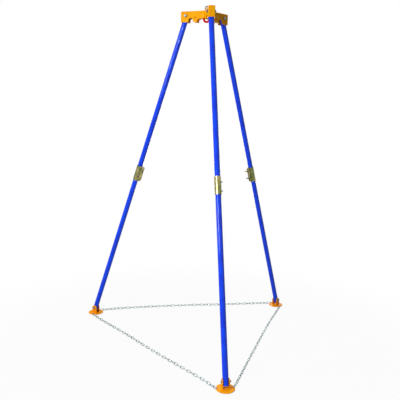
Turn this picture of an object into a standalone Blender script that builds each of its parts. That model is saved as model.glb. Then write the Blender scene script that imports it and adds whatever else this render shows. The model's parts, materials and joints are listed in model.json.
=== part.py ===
"""Lifting tripod: a three-armed head, three two-piece tube legs and hinged feet tied by chains.

Metres, +Z up. The origin is on the floor, under the middle of the stand's bounding box. The front
leg points to -Y and the stand's own axis is at Y = AXIS_Y.
Run it with: blender --background --python part.py
"""

import math

import bmesh
import bpy
from mathutils import Matrix, Vector

# Gap kept between pieces that touch on the real stand
GAP = 0.0003

# Facets round a disc, a tube, a sleeve, the eye's stud, an ear's half round, and a fastener or hole
DISC_STEPS = 40
ROUND_STEPS = 32
SLEEVE_STEPS = 20
STUD_STEPS = 24
EAR_STEPS = 16
SMALL_STEPS = 12

# Leg tubes
TUBE_OD = 0.0483
TUBE_WALL = 0.0032
LEG_LENGTH = 3.050  # pivot axis to foot pin axis
UPPER_LENGTH = 1.530  # pivot axis to the joint of the two tubes
TUBE_TOP_RISE = 0.020  # tube end above the pivot axis
TUBE_FOOT_DROP = 0.030  # tube end below the foot pin
SIDE_CLEARANCE = 0.00085  # each side of a tube, in its arm and in its foot bracket

# Stance
FOOT_RADIUS = 1.147  # foot pin from the stand's axis
PIVOT_RADIUS = 0.190  # leg pivot from the stand's axis

# Head arms, folded from plate
ARM_PLATE = 0.004
ARM_HEIGHT = 0.095
ARM_BEND = 0.006  # outer radius of the folds
PIVOT_DROP = 0.040  # leg pivot below the arm's top face
STOP_CLEARANCE = 0.0004  # spread leg to the end plate that stops it
NOTCH_FROM_END = 0.074
NOTCH_LENGTH = 0.042
NOTCH_DEPTH = 0.035
NOTCH_RADIUS = 0.017
LOBE_LENGTH = 0.043
RELIEF_DEPTH = 0.028  # long relief between the lobe and the hub
RELIEF_RADIUS = 0.014
RIGGING_HOLE_D = 0.014
RIGGING_HOLE_DROP = 0.057  # below the arm's top face
HUB_HOLE_D = 0.009
HUB_HOLE_RADIUS = 0.039  # from the stand's axis
HUB_HOLE_DROP = 0.013

# Hub plate and lifting eye
HUB_PLATE_T = 0.012
HUB_PLATE_REACH = 0.072
STUD_D = 0.024
STUD_CLEARANCE = 0.0005
STUD_SPARE = 0.004  # thread past the nut
EYE_RING_OD = 0.066
EYE_STOCK_D = 0.018
EYE_DROP = 0.072  # ring centre below the arms' top face
EYE_COLLAR_D = 0.040
EYE_COLLAR_H = 0.008
EYE_AZIMUTH = -9.0  # degrees the ring's plane is turned from the X axis
EYE_NUT_AF = 0.036
EYE_NUT_H = 0.018
EYE_SPACER_OD = 0.034
EYE_SPACER_H = 0.020

# Leg pivot bolts
PIVOT_BOLT_D = 0.016
PIVOT_BOLT_AF = 0.024
PIVOT_HEAD_H = 0.010
PIVOT_NUT_H = 0.013
PIVOT_BOLT_SPARE = 0.003  # thread past the nut
BOLT_CLEARANCE = 0.0004  # round a fixed bolt
RUNNING_CLEARANCE = 0.0006  # round a bolt that a piece turns on
BOLT_TIP_SHARE = 0.08  # a bolt end's chamfer, as a share of its diameter
HEXAGON_SLOPE = 1.1  # fall of a hexagon's corner to its depth

# Clamp sleeves of the leg joints
SLEEVE_LENGTH = 0.150
SLEEVE_WALL = 0.004
SLEEVE_FIT = 0.0003
FLANGE_T = 0.004
FLANGE_SLOT = 0.006
FLANGE_REACH = 0.051  # from the tube's axis
FLANGE_TOP_CORNER = 0.0055
FLANGE_FOOT_CORNER = 0.022
SLEEVE_BOLT_D = 0.012
SLEEVE_BOLT_AF = 0.018
SLEEVE_HEAD_H = 0.008
SLEEVE_NUT_H = 0.010
SLEEVE_BOLT_OFFSET = 0.039  # bolt axis from the tube's axis
SLEEVE_BOLT_MARGIN = 0.037  # bolt axis from the sleeve's end
SLEEVE_BOLT_END = 0.048  # bolt end from the tube's axis, across the leg

# Feet
PAD_D = 0.116
PAD_T = 0.008
DISC_D = 0.150
DISC_T = 0.005
BRACKET_T = 0.005
BRACKET_BEND = 0.007
EAR_WIDTH = 0.049
PIN_RISE = 0.055  # foot pin above the disc's top face
FOOT_BOLT_D = 0.012
FOOT_BOLT_AF = 0.019
FOOT_HEAD_H = 0.0075
FOOT_NUT_H = 0.010
FOOT_BOLT_SPARE = 0.003

# Foot chains
CHAIN_WIRE_D = 0.006
CHAIN_PITCH = 0.042
CHAIN_WIDTH = 0.024
CHAIN_HOLE_D = 0.010
CHAIN_HOLE_RADIUS = 0.065  # from the foot's middle
CHAIN_STEPS = 30
LINK_STEPS = 6  # round each end of a link
CURVE_PARTS = 20  # points that a smooth curve has between two route points

# Each free chain's route over the floor, from the stand's axis, between the end links
CHAIN_ROUTES = {
    "left": [
        (-0.929, 0.342),
        (-0.692, -0.053),
        (-0.502, -0.393),
        (-0.312, -0.710),
        (-0.151, -0.975),
    ],
    "right": [
        (0.130, -1.034),
        (0.260, -0.798),
        (0.411, -0.527),
        (0.582, -0.222),
        (0.782, 0.125),
        (0.941, 0.379),
    ],
    "back": [
        (0.820, 0.638),
        (0.530, 0.648),
        (0.330, 0.652),
        (0.110, 0.668),
        (-0.180, 0.674),
        (-0.420, 0.670),
        (-0.640, 0.667),
        (-0.850, 0.643),
    ],
}

# Degrees from the X axis, a third of a turn between the legs
LEGS = {"front": -90.0, "left": 150.0, "right": 30.0}
HALF_BETWEEN_LEGS = math.radians(60)

# Places that follow from the sizes
LEAN = math.asin((FOOT_RADIUS - PIVOT_RADIUS) / LEG_LENGTH)
DISC_TOP = PAD_T + DISC_T
PIVOT_Z = DISC_TOP + PIN_RISE + LEG_LENGTH * math.cos(LEAN)
ARM_TOP = PIVOT_Z + PIVOT_DROP
TUBE_R = TUBE_OD / 2
ARM_INNER = TUBE_OD + 2 * SIDE_CLEARANCE
ARM_WIDTH = ARM_INNER + 2 * ARM_PLATE
LEANING_FACE = TUBE_R / math.cos(LEAN) + (ARM_HEIGHT - PIVOT_DROP) * math.tan(LEAN)
ARM_REACH = PIVOT_RADIUS + LEANING_FACE + STOP_CLEARANCE + ARM_PLATE
AXIS_Y = FOOT_RADIUS * (1 - math.sin(math.radians(LEGS["right"]))) / 2
ALONG_Y = (math.radians(-90), 0, 0)  # turns a bolt from Z to Y

# Colour, roughness and metallic value of each finish
FINISHES = {
    "yellow_paint": ((1.0, 0.42, 0.0), 0.30, 0.0),
    "blue_paint": ((0.0, 0.09, 0.85), 0.22, 0.0),
    "orange_paint": ((1.0, 0.30, 0.0), 0.35, 0.0),
    "red_paint": ((0.55, 0.0, 0.005), 0.35, 0.0),
    "zinc_yellow": ((0.42, 0.40, 0.12), 0.28, 1.0),
    "zinc_plated": ((0.55, 0.58, 0.60), 0.35, 1.0),
    "galvanised": ((0.48, 0.54, 0.54), 0.45, 1.0),
    "rubber": ((0.03, 0.03, 0.03), 0.80, 0.0),
}


def clear_scene():
    for obj in list(bpy.data.objects):
        bpy.data.objects.remove(obj)


def new_collection(name):
    collection = bpy.data.collections.new(name)
    bpy.context.scene.collection.children.link(collection)
    return collection


def finish(name):
    """The material of this finish, made once for each piece that asks."""
    colour, roughness, metallic = FINISHES[name]
    material = bpy.data.materials.new(name)
    material.use_nodes = True
    shader = material.node_tree.nodes["Principled BSDF"]
    shader.inputs["Base Color"].default_value = (*colour, 1.0)
    shader.inputs["Roughness"].default_value = roughness
    shader.inputs["Metallic"].default_value = metallic
    return material


# Shapes are made at the origin and returned as meshes


def linked(data):
    obj = bpy.data.objects.new("shape", data)
    workshop.objects.link(obj)
    return obj


def baked(obj):
    """The object's evaluated mesh, welded; the object is removed."""
    bpy.context.view_layer.update()
    graph = bpy.context.evaluated_depsgraph_get()
    mesh = bpy.data.meshes.new_from_object(obj.evaluated_get(graph))
    bm = bmesh.new()
    bm.from_mesh(mesh)
    bmesh.ops.remove_doubles(bm, verts=bm.verts, dist=1e-6)
    bm.to_mesh(mesh)
    bm.free()
    bpy.data.objects.remove(obj)
    return mesh


def moved(mesh, matrix):
    mesh.transform(matrix)
    return mesh


def combined(mesh, operation, others):
    """The mesh after one Boolean for each other mesh."""
    body = linked(mesh)
    tools = [linked(other) for other in others]
    for tool in tools:
        boolean = body.modifiers.new(operation.lower(), "BOOLEAN")
        boolean.operation = operation
        boolean.object = tool
    result = baked(body)
    for tool in tools:
        bpy.data.objects.remove(tool)
    return result


def cylinder(diameter, length, segments=SMALL_STEPS, centre=(0, 0, 0)):
    """A cylinder along Z round the given centre."""
    mesh = bpy.data.meshes.new("cylinder")
    bm = bmesh.new()
    bmesh.ops.create_cone(
        bm, cap_ends=True, segments=segments, radius1=diameter / 2, radius2=diameter / 2, depth=length
    )
    bm.to_mesh(mesh)
    bm.free()
    return moved(mesh, Matrix.Translation(centre))


def bore(diameter, length, segments=SMALL_STEPS, centre=(0, 0, 0)):
    """A cutter for a hole: its flats, and not its corners, lie on the diameter."""
    return cylinder(diameter / math.cos(math.pi / segments), length, segments, centre)


def cross_hole(diameter, length, centre):
    """A cutter along Y, for a hole across a leg or an arm."""
    turn = Matrix.Rotation(math.radians(90), 4, "X")
    return moved(bore(diameter, length), Matrix.Translation(centre) @ turn)


def rounded_box(size, centre, radius):
    """A box with all its edges rounded."""
    mesh = bpy.data.meshes.new("box")
    bm = bmesh.new()
    bmesh.ops.create_cube(bm, size=1)
    bmesh.ops.scale(bm, vec=size, verts=bm.verts)
    bm.to_mesh(mesh)
    bm.free()
    box = linked(mesh)
    bevel = box.modifiers.new("rounding", "BEVEL")
    bevel.width = radius
    bevel.segments = 3
    return moved(baked(box), Matrix.Translation(centre))


def turned(profile, segments=ROUND_STEPS):
    """A solid turned round Z from (radius, height) points that run down its outer side."""
    mesh = bpy.data.meshes.new("profile")
    bm = bmesh.new()
    points = [bm.verts.new((radius, 0, height)) for radius, height in profile]
    closed = all(radius > 0 for radius, _ in profile)
    for first, second in zip(points, points[1:] + points[:1] if closed else points[1:]):
        bm.edges.new((first, second))
    bm.to_mesh(mesh)
    bm.free()
    body = linked(mesh)
    screw = body.modifiers.new("turning", "SCREW")
    screw.steps = segments
    screw.render_steps = segments
    screw.use_merge_vertices = True
    screw.merge_threshold = 1e-5
    return baked(body)


def outline(corners, steps=5):
    """Points round (x, y, radius) corners, with an arc at each corner that has a radius."""
    points = []
    for index, (x, y, radius) in enumerate(corners):
        corner = Vector((x, y))
        if radius == 0:
            points.append(corner)
            continue
        before = (Vector(corners[index - 1][:2]) - corner).normalized()
        after = (Vector(corners[(index + 1) % len(corners)][:2]) - corner).normalized()
        half = before.angle(after) / 2
        centre = corner + (before + after).normalized() * radius / math.sin(half)
        start = corner + before * radius / math.tan(half) - centre
        end = corner + after * radius / math.tan(half) - centre
        sweep = math.atan2(start.x * end.y - start.y * end.x, start.dot(end))
        for step in range(steps + 1):
            points.append(centre + Matrix.Rotation(sweep * step / steps, 2) @ start)
    return points


def arc(radius, start, end, steps):
    """Points on a circle round the origin, from one angle in degrees to another."""
    angles = [math.radians(start + (end - start) * step / steps) for step in range(steps + 1)]
    return [Vector((radius * math.cos(angle), radius * math.sin(angle))) for angle in angles]


def plate(points, thickness):
    """A flat outline in the XY plane with this thickness, its middle at Z = 0."""
    curve = bpy.data.curves.new("outline", "CURVE")
    curve.dimensions = "2D"
    curve.fill_mode = "BOTH"
    curve.extrude = thickness / 2
    spline = curve.splines.new("POLY")
    spline.points.add(len(points) - 1)
    for place, point in zip(spline.points, points):
        place.co = (point[0], point[1], 0, 1)
    spline.use_cyclic_u = True
    return baked(linked(curve))


def standing(mesh):
    """A flat outline stood up, so that its X and Y become X and Z."""
    return moved(mesh, Matrix.Rotation(math.radians(90), 4, "X"))


def wire(points, diameter, closed=False, resolution=2):
    """A round wire or tube along the points."""
    curve = bpy.data.curves.new("wire", "CURVE")
    curve.dimensions = "3D"
    curve.bevel_depth = diameter / 2
    curve.bevel_resolution = resolution
    curve.use_fill_caps = not closed
    spline = curve.splines.new("POLY")
    spline.points.add(len(points) - 1)
    for place, point in zip(spline.points, points):
        place.co = (*point, 1)
    spline.use_cyclic_u = closed
    return baked(linked(curve))


# Fasteners, along Z with the clamped faces at Z = 0


def hexagon(across_flats, height, chamfer_both):
    """A hexagon from Z = 0 up, with its corners turned down at the top and, for a nut, at the foot."""
    corner = across_flats / math.sqrt(3)
    flat = across_flats / 2
    drop = (corner - flat) * HEXAGON_SLOPE
    prism = cylinder(2 * corner, height, 6, (0, 0, height / 2))
    low = [(corner + GAP, drop), (flat, 0)] if chamfer_both else [(corner + GAP, 0)]
    profile = [(0, height), (flat, height), (corner + GAP, height - drop), *low, (0, 0)]
    return combined(prism, "INTERSECT", [turned(profile, SMALL_STEPS)])


def bolt(diameter, length, across_flats, head_height):
    """Head below Z = 0 and shank above it."""
    tip = diameter * BOLT_TIP_SHARE
    overlap = head_height / 2
    head = moved(hexagon(across_flats, head_height, False), Matrix.Rotation(math.pi, 4, "X"))
    shank = turned(
        [
            (0, length),
            (diameter / 2 - tip, length),
            (diameter / 2, length - tip),
            (diameter / 2, -overlap),
            (0, -overlap),
        ],
        SMALL_STEPS,
    )
    return combined(head, "UNION", [shank])


def nut(diameter, across_flats, height):
    hole = bore(diameter + 2 * GAP, 3 * height)
    return combined(hexagon(across_flats, height, True), "DIFFERENCE", [hole])


# Head


def arm_mesh():
    """One arm in its own frame: X outward from the stand's axis, Z = 0 at the top face."""
    far = 2 * ARM_REACH
    shell = rounded_box((far, ARM_WIDTH, 2 * ARM_HEIGHT), (0, 0, -ARM_HEIGHT), ARM_BEND)
    # The three arms meet on planes halfway between them, each half a gap away
    apex = GAP / 2 / math.sin(HALF_BETWEEN_LEGS)
    side = far * math.tan(HALF_BETWEEN_LEGS)
    wedge = plate([(apex, 0), (far + apex, -side), (far + apex, side)], 2 * ARM_HEIGHT)
    hollow = rounded_box(
        (far - 2 * ARM_PLATE, ARM_INNER, 3 * ARM_HEIGHT),
        (0, 0, -1.5 * ARM_HEIGHT - ARM_PLATE),
        ARM_BEND - ARM_PLATE,
    )
    body = combined(shell, "INTERSECT", [wedge])
    across = 2 * ARM_WIDTH
    lobe_start = ARM_REACH - NOTCH_FROM_END - NOTCH_LENGTH
    lobe_end = lobe_start - LOBE_LENGTH
    foot = -ARM_HEIGHT
    notch = outline(
        [
            (lobe_start, foot - NOTCH_DEPTH, 0),
            (lobe_start + NOTCH_LENGTH, foot - NOTCH_DEPTH, 0),
            (lobe_start + NOTCH_LENGTH, foot + NOTCH_DEPTH, NOTCH_RADIUS),
            (lobe_start, foot + NOTCH_DEPTH, NOTCH_RADIUS),
        ]
    )
    relief = outline(
        [
            (-lobe_end, foot - RELIEF_DEPTH, 0),
            (lobe_end, foot - RELIEF_DEPTH, 0),
            (lobe_end, foot + RELIEF_DEPTH, RELIEF_RADIUS),
            (-lobe_end, foot + RELIEF_DEPTH, 0),
        ]
    )
    cutters = [
        hollow,
        standing(plate(notch, across)),
        standing(plate(relief, across)),
        bore(STUD_D + 2 * STUD_CLEARANCE, ARM_HEIGHT, STUD_STEPS),
        cross_hole(PIVOT_BOLT_D + 2 * BOLT_CLEARANCE, across, (PIVOT_RADIUS, 0, -PIVOT_DROP)),
        cross_hole(RIGGING_HOLE_D, across, ((lobe_start + lobe_end) / 2, 0, -RIGGING_HOLE_DROP)),
        cross_hole(HUB_HOLE_D, across, (HUB_HOLE_RADIUS, 0, -HUB_HOLE_DROP - ARM_PLATE)),
    ]
    cut = combined(body, "DIFFERENCE", cutters)
    # The shell and the hollow reach below the arm, which ends here
    below = plate([(-far, -far), (far, -far), (far, far), (-far, far)], 2 * ARM_HEIGHT)
    return combined(cut, "DIFFERENCE", [moved(below, Matrix.Translation((0, 0, -2 * ARM_HEIGHT)))])


def hub_plate_mesh():
    """The three-legged plate under the arms' top faces, its top at Z = 0."""
    # Narrow enough to clear the inside of the arms' folds
    half = ARM_INNER / 2 - (ARM_BEND - ARM_PLATE) - GAP
    points = []
    crotch = Vector((half / math.sin(HALF_BETWEEN_LEGS), 0))
    for azimuth in sorted(angle % 360 for angle in LEGS.values()):
        turn = Matrix.Rotation(math.radians(azimuth), 2)
        past = Matrix.Rotation(math.radians(azimuth) + HALF_BETWEEN_LEGS, 2)
        ends = [turn @ Vector((HUB_PLATE_REACH, side)) for side in (-half, half)]
        points += [*ends, past @ crotch]
    body = moved(plate(points, HUB_PLATE_T), Matrix.Translation((0, 0, -HUB_PLATE_T / 2)))
    hole = bore(STUD_D + 2 * STUD_CLEARANCE, 4 * HUB_PLATE_T, STUD_STEPS)
    return combined(body, "DIFFERENCE", [hole])


def eye_mesh():
    """Lifting eye with its collar and stud, Z = 0 at the arms' top face."""
    collar_top = -ARM_PLATE - HUB_PLATE_T - 3 * GAP
    collar_foot = collar_top - EYE_COLLAR_H
    ring_radius = (EYE_RING_OD - EYE_STOCK_D) / 2
    stud_top = EYE_SPACER_H + EYE_NUT_H + STUD_SPARE + 2 * GAP
    tip = STUD_D * BOLT_TIP_SHARE
    bpy.ops.mesh.primitive_torus_add(
        major_radius=ring_radius,
        minor_radius=EYE_STOCK_D / 2,
        major_segments=28,
        minor_segments=10,
    )
    ring = bpy.context.active_object
    mesh = ring.data
    bpy.data.objects.remove(ring)
    turn = Matrix.Rotation(math.radians(90), 4, "X")
    moved(mesh, Matrix.Translation((0, 0, -EYE_DROP)) @ turn)
    stud = turned(
        [
            (0, stud_top),
            (STUD_D / 2 - tip, stud_top),
            (STUD_D / 2, stud_top - tip),
            (STUD_D / 2, collar_top),
            (EYE_COLLAR_D / 2, collar_top),
            (EYE_COLLAR_D / 2, collar_foot),
            (EYE_STOCK_D / 2, -EYE_DROP + EYE_RING_OD / 2),
            (EYE_STOCK_D / 4, -EYE_DROP + ring_radius),
            (0, -EYE_DROP + ring_radius),
        ],
        STUD_STEPS,
    )
    return combined(mesh, "UNION", [stud])


def spacer_mesh():
    inner = STUD_D / 2 + STUD_CLEARANCE
    outer = EYE_SPACER_OD / 2
    section = [(inner, EYE_SPACER_H), (outer, EYE_SPACER_H), (outer, 0), (inner, 0)]
    return turned(section, STUD_STEPS)


# Legs, in a frame with Z up along the leg, X outward and Z = 0 at the pivot


def tube(top, foot, hole_z, hole_d):
    outer = TUBE_R
    inner = TUBE_R - TUBE_WALL
    body = turned([(inner, top), (outer, top), (outer, foot), (inner, foot)])
    return combined(body, "DIFFERENCE", [cross_hole(hole_d, 2 * TUBE_OD, (0, 0, hole_z))])


def upper_tube_mesh():
    hole = PIVOT_BOLT_D + 2 * RUNNING_CLEARANCE
    return tube(TUBE_TOP_RISE, -UPPER_LENGTH + GAP / 2, 0, hole)


def lower_tube_mesh():
    hole = FOOT_BOLT_D + 2 * RUNNING_CLEARANCE
    return tube(-UPPER_LENGTH - GAP / 2, -LEG_LENGTH - TUBE_FOOT_DROP, -LEG_LENGTH, hole)


def sleeve_mesh():
    """The clamp round the joint of the tubes, its flanges on the leg's inner side."""
    inner = TUBE_R + SLEEVE_FIT
    outer = inner + SLEEVE_WALL
    slot = FLANGE_SLOT / 2
    pack = slot + FLANGE_T
    inner_angle = math.degrees(math.asin(slot / inner))
    outer_angle = math.degrees(math.asin(pack / outer))
    section = arc(outer, 180 - outer_angle, outer_angle - 180, SLEEVE_STEPS)
    section += [Vector((-FLANGE_REACH, -pack)), Vector((-FLANGE_REACH, -slot))]
    section += arc(inner, inner_angle - 180, 180 - inner_angle, SLEEVE_STEPS)
    section += [Vector((-FLANGE_REACH, slot)), Vector((-FLANGE_REACH, pack))]
    half = SLEEVE_LENGTH / 2
    side = outline(
        [
            (outer * 2, half, 0),
            (-FLANGE_REACH, half, FLANGE_TOP_CORNER),
            (-FLANGE_REACH, -half, FLANGE_FOOT_CORNER),
            (outer * 2, -half, 0),
        ]
    )
    wrap = plate(section, 2 * SLEEVE_LENGTH)
    body = combined(wrap, "INTERSECT", [standing(plate(side, 4 * outer))])
    hole_d = SLEEVE_BOLT_D + 2 * BOLT_CLEARANCE
    at_bolts = half - SLEEVE_BOLT_MARGIN
    holes = [cross_hole(hole_d, 4 * pack, (-SLEEVE_BOLT_OFFSET, 0, end)) for end in (-at_bolts, at_bolts)]
    return moved(combined(body, "DIFFERENCE", holes), Matrix.Translation((0, 0, -UPPER_LENGTH)))


# Feet, in a frame with X outward and Z = 0 at the foot pin


def bracket_mesh():
    """A folded U with two ears that end in a round about the pin."""
    inner = ARM_INNER / 2
    outer = inner + BRACKET_T
    floor = -PIN_RISE + GAP
    top = EAR_WIDTH
    section = outline(
        [
            (-outer, top, 0),
            (-outer, floor, BRACKET_BEND),
            (outer, floor, BRACKET_BEND),
            (outer, top, 0),
            (inner, top, 0),
            (inner, floor + BRACKET_T, BRACKET_BEND - BRACKET_T),
            (-inner, floor + BRACKET_T, BRACKET_BEND - BRACKET_T),
            (-inner, top, 0),
        ]
    )
    body = moved(standing(plate(section, 2 * EAR_WIDTH)), Matrix.Rotation(math.radians(90), 4, "Z"))
    half = EAR_WIDTH / 2
    ear = [(half, -2 * PIN_RISE), *arc(half, 0, 180, EAR_STEPS), (-half, -2 * PIN_RISE)]
    body = combined(body, "INTERSECT", [standing(plate(ear, 4 * outer))])
    hole = cross_hole(FOOT_BOLT_D + 2 * BOLT_CLEARANCE, 4 * outer, (0, 0, 0))
    return combined(body, "DIFFERENCE", [hole])


def disc_mesh():
    radius = DISC_D / 2
    edge = DISC_T / 4
    top = -PIN_RISE
    foot = top - DISC_T + GAP
    rim = [(radius - edge, top), (radius, top - edge), (radius, foot + edge), (radius - edge, foot)]
    disc = turned([(0, top), *rim, (0, foot)], DISC_STEPS)
    holes = [
        bore(CHAIN_HOLE_D, 4 * DISC_T, centre=(0, side, top))
        for side in (-CHAIN_HOLE_RADIUS, CHAIN_HOLE_RADIUS)
    ]
    return combined(disc, "DIFFERENCE", holes)


def pad_mesh():
    radius = PAD_D / 2
    edge = PAD_T / 4
    top = -PIN_RISE - DISC_T
    foot = top - PAD_T
    return turned([(0, top), (radius, top), (radius, foot + edge), (radius - edge, foot), (0, foot)])


# Chains


def link_mesh():
    """One link standing in the XZ plane, its first end's wire at the origin."""
    bend = (CHAIN_WIDTH - CHAIN_WIRE_D) / 2
    straight = CHAIN_PITCH + CHAIN_WIRE_D - 2 * bend
    near = [point + Vector((bend, 0)) for point in arc(bend, 90, 270, LINK_STEPS)]
    far = [point + Vector((bend + straight, 0)) for point in arc(bend, -90, 90, LINK_STEPS)]
    return wire([(x, 0, z) for x, z in near + far], CHAIN_WIRE_D, closed=True)


def smooth_route(points, steps):
    """Even steps along a smooth curve through the points."""
    fine = []
    for index in range(len(points) - 1):
        a = points[max(index - 1, 0)]
        b, c = points[index], points[index + 1]
        d = points[min(index + 2, len(points) - 1)]
        for part in range(CURVE_PARTS):
            t = part / CURVE_PARTS
            bend = (2 * a - 5 * b + 4 * c - d) * t**2 + (3 * b - a - 3 * c + d) * t**3
            fine.append((2 * b + (c - a) * t + bend) / 2)
    fine.append(points[-1])
    lengths = [0.0]
    for first, second in zip(fine, fine[1:]):
        lengths.append(lengths[-1] + (second - first).length)
    route = []
    index = 0
    for step in range(steps + 1):
        goal = lengths[-1] * step / steps
        while index < len(fine) - 2 and lengths[index + 1] < goal:
            index += 1
        share = (goal - lengths[index]) / (lengths[index + 1] - lengths[index])
        route.append(fine[index].lerp(fine[index + 1], share))
    return route


# Assembly


def place(name, mesh, material, parent, location=(0, 0, 0), rotation=(0, 0, 0), facets=40):
    obj = bpy.data.objects.new(name, mesh.copy())
    obj.data.name = name
    obj.data.materials.clear()
    obj.data.materials.append(finish(material))
    obj.data.shade_smooth()
    obj.data.set_sharp_from_angle(angle=math.radians(facets))
    obj.parent = parent
    obj.location = location
    obj.rotation_euler = rotation
    tripod.objects.link(obj)
    return obj


def empty(name, parent, location, rotation=(0, 0, 0)):
    obj = bpy.data.objects.new(name, None)
    obj.parent = parent
    obj.location = location
    obj.rotation_euler = rotation
    tripod.objects.link(obj)
    return obj


def build_head(head):
    """Hub plate and lifting eye; the arms come with the legs."""
    place("hub_plate", hub_plate_mesh(), "yellow_paint", head, (0, 0, -ARM_PLATE - GAP))
    place("eye_spacer", spacer_mesh(), "zinc_plated", head, (0, 0, GAP))
    place("lifting_eye", eye_mesh(), "red_paint", head, rotation=(0, 0, math.radians(EYE_AZIMUTH)))
    nut_mesh = nut(STUD_D, EYE_NUT_AF, EYE_NUT_H)
    place("eye_nut", nut_mesh, "zinc_plated", head, (0, 0, EYE_SPACER_H + 2 * GAP))


def build_pivot(name, arm_frame, shapes):
    """The arm and the bolt that the leg turns on, its head on the side away from +Y."""
    place("head_arm_" + name, shapes["arm"], "yellow_paint", arm_frame)
    seat = ARM_WIDTH / 2 + GAP
    for piece, side in (("pivot_bolt", -seat), ("pivot_nut", seat)):
        at_side = (PIVOT_RADIUS, side, -PIVOT_DROP)
        place(f"{piece}_{name}", shapes[piece], "zinc_plated", arm_frame, at_side, ALONG_Y)


def build_leg(name, leg, shapes):
    place("upper_tube_" + name, shapes["upper_tube"], "blue_paint", leg)
    place("lower_tube_" + name, shapes["lower_tube"], "blue_paint", leg)
    place("joint_sleeve_" + name, shapes["sleeve"], "zinc_yellow", leg)
    seat = FLANGE_SLOT / 2 + FLANGE_T + GAP
    at_bolts = SLEEVE_LENGTH / 2 - SLEEVE_BOLT_MARGIN
    for row, end in (("upper", at_bolts), ("lower", -at_bolts)):
        for piece, side in (("sleeve_bolt", -seat), ("sleeve_nut", seat)):
            at_flange = (-SLEEVE_BOLT_OFFSET, side, -UPPER_LENGTH + end)
            place(f"{piece}_{row}_{name}", shapes[piece], "zinc_yellow", leg, at_flange, ALONG_Y)


def build_foot(name, foot, shapes):
    place("foot_bracket_" + name, shapes["bracket"], "orange_paint", foot)
    place("foot_plate_" + name, shapes["disc"], "orange_paint", foot)
    place("foot_pad_" + name, shapes["pad"], "rubber", foot)
    seat = ARM_INNER / 2 + BRACKET_T + GAP
    for piece, side in (("foot_bolt", -seat), ("foot_nut", seat)):
        place(f"{piece}_{name}", shapes[piece], "zinc_plated", foot, (0, side, 0), ALONG_Y)


def build_chain(name, start, end, starts_at, ends_at, link, feet):
    """An end link through each foot's hole, and the free stretch between them as a plain tube."""
    height = CHAIN_WIDTH / 2 + GAP
    points = [Vector((x, y + AXIS_Y, height)) for x, y in CHAIN_ROUTES[name]]
    reach = CHAIN_PITCH + CHAIN_WIRE_D + CHAIN_WIRE_D / 2 + GAP
    ends = []
    for hole, towards, foot_name in ((starts_at, points[0], start), (ends_at, points[-1], end)):
        hole = Vector((hole.x, hole.y, height))
        away = (towards - hole).normalized()
        turn = Matrix.Rotation(math.atan2(away.y, away.x), 4, "Z")
        mesh = moved(link.copy(), Matrix.Translation(hole) @ turn)
        obj = place(f"chain_end_{name}_{foot_name}", mesh, "galvanised", None)
        parent_keeping_place(obj, feet[foot_name])
        ends.append(hole + away * reach)
    route = smooth_route([ends[0], *points, ends[1]], CHAIN_STEPS)
    place("chain_" + name, wire(route, CHAIN_WIDTH, resolution=2), "galvanised", None)


def parent_keeping_place(obj, parent):
    bpy.context.view_layer.update()
    obj.parent = parent
    obj.matrix_parent_inverse = parent.matrix_world.inverted()


def build():
    shapes = {
        "arm": arm_mesh(),
        "pivot_bolt": bolt(
            PIVOT_BOLT_D, ARM_WIDTH + 2 * GAP + PIVOT_NUT_H + PIVOT_BOLT_SPARE, PIVOT_BOLT_AF, PIVOT_HEAD_H
        ),
        "pivot_nut": nut(PIVOT_BOLT_D, PIVOT_BOLT_AF, PIVOT_NUT_H),
        "upper_tube": upper_tube_mesh(),
        "lower_tube": lower_tube_mesh(),
        "sleeve": sleeve_mesh(),
        "sleeve_bolt": bolt(
            SLEEVE_BOLT_D,
            SLEEVE_BOLT_END + FLANGE_SLOT / 2 + FLANGE_T + GAP,
            SLEEVE_BOLT_AF,
            SLEEVE_HEAD_H,
        ),
        "sleeve_nut": nut(SLEEVE_BOLT_D, SLEEVE_BOLT_AF, SLEEVE_NUT_H),
        "bracket": bracket_mesh(),
        "disc": disc_mesh(),
        "pad": pad_mesh(),
        "foot_bolt": bolt(
            FOOT_BOLT_D,
            ARM_INNER + 2 * BRACKET_T + 2 * GAP + FOOT_NUT_H + FOOT_BOLT_SPARE,
            FOOT_BOLT_AF,
            FOOT_HEAD_H,
        ),
        "foot_nut": nut(FOOT_BOLT_D, FOOT_BOLT_AF, FOOT_NUT_H),
    }
    stand = empty("stand_axis", None, (0, AXIS_Y, 0))
    head = empty("head_top", stand, (0, 0, ARM_TOP))
    build_head(head)
    feet = {}
    for name, azimuth in LEGS.items():
        arm_frame = empty("arm_frame_" + name, head, (0, 0, 0), (0, 0, math.radians(azimuth)))
        build_pivot(name, arm_frame, shapes)
        leg = empty("leg_axis_" + name, arm_frame, (PIVOT_RADIUS, 0, -PIVOT_DROP), (0, -LEAN, 0))
        build_leg(name, leg, shapes)
        # The foot hangs level from the leaning leg
        foot = empty("foot_axis_" + name, leg, (0, 0, -LEG_LENGTH), (0, LEAN, 0))
        build_foot(name, foot, shapes)
        feet[name] = foot
    bpy.context.view_layer.update()
    link = link_mesh()
    holes = {
        (name, side): foot.matrix_world @ Vector((0, side * CHAIN_HOLE_RADIUS, 0))
        for name, foot in feet.items()
        for side in (-1, 1)
    }
    build_chain("left", "left", "front", holes["left", 1], holes["front", -1], link, feet)
    build_chain("right", "front", "right", holes["front", 1], holes["right", -1], link, feet)
    build_chain("back", "right", "left", holes["right", 1], holes["left", -1], link, feet)


clear_scene()
tripod = new_collection("lifting_tripod")
workshop = new_collection("workshop")
build()
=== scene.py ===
"""Looks of the lifting tripod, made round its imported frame.

Metres, +Z up, the front leg towards -Y. The sections follow the stand as it is put together: head,
eye, pivot bolts, legs, clamp sleeves, feet and chains, and then the studio with its camera.
"""

import json
import math

import bmesh
import bpy
import numpy as np
from mathutils import Matrix, Vector


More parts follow.
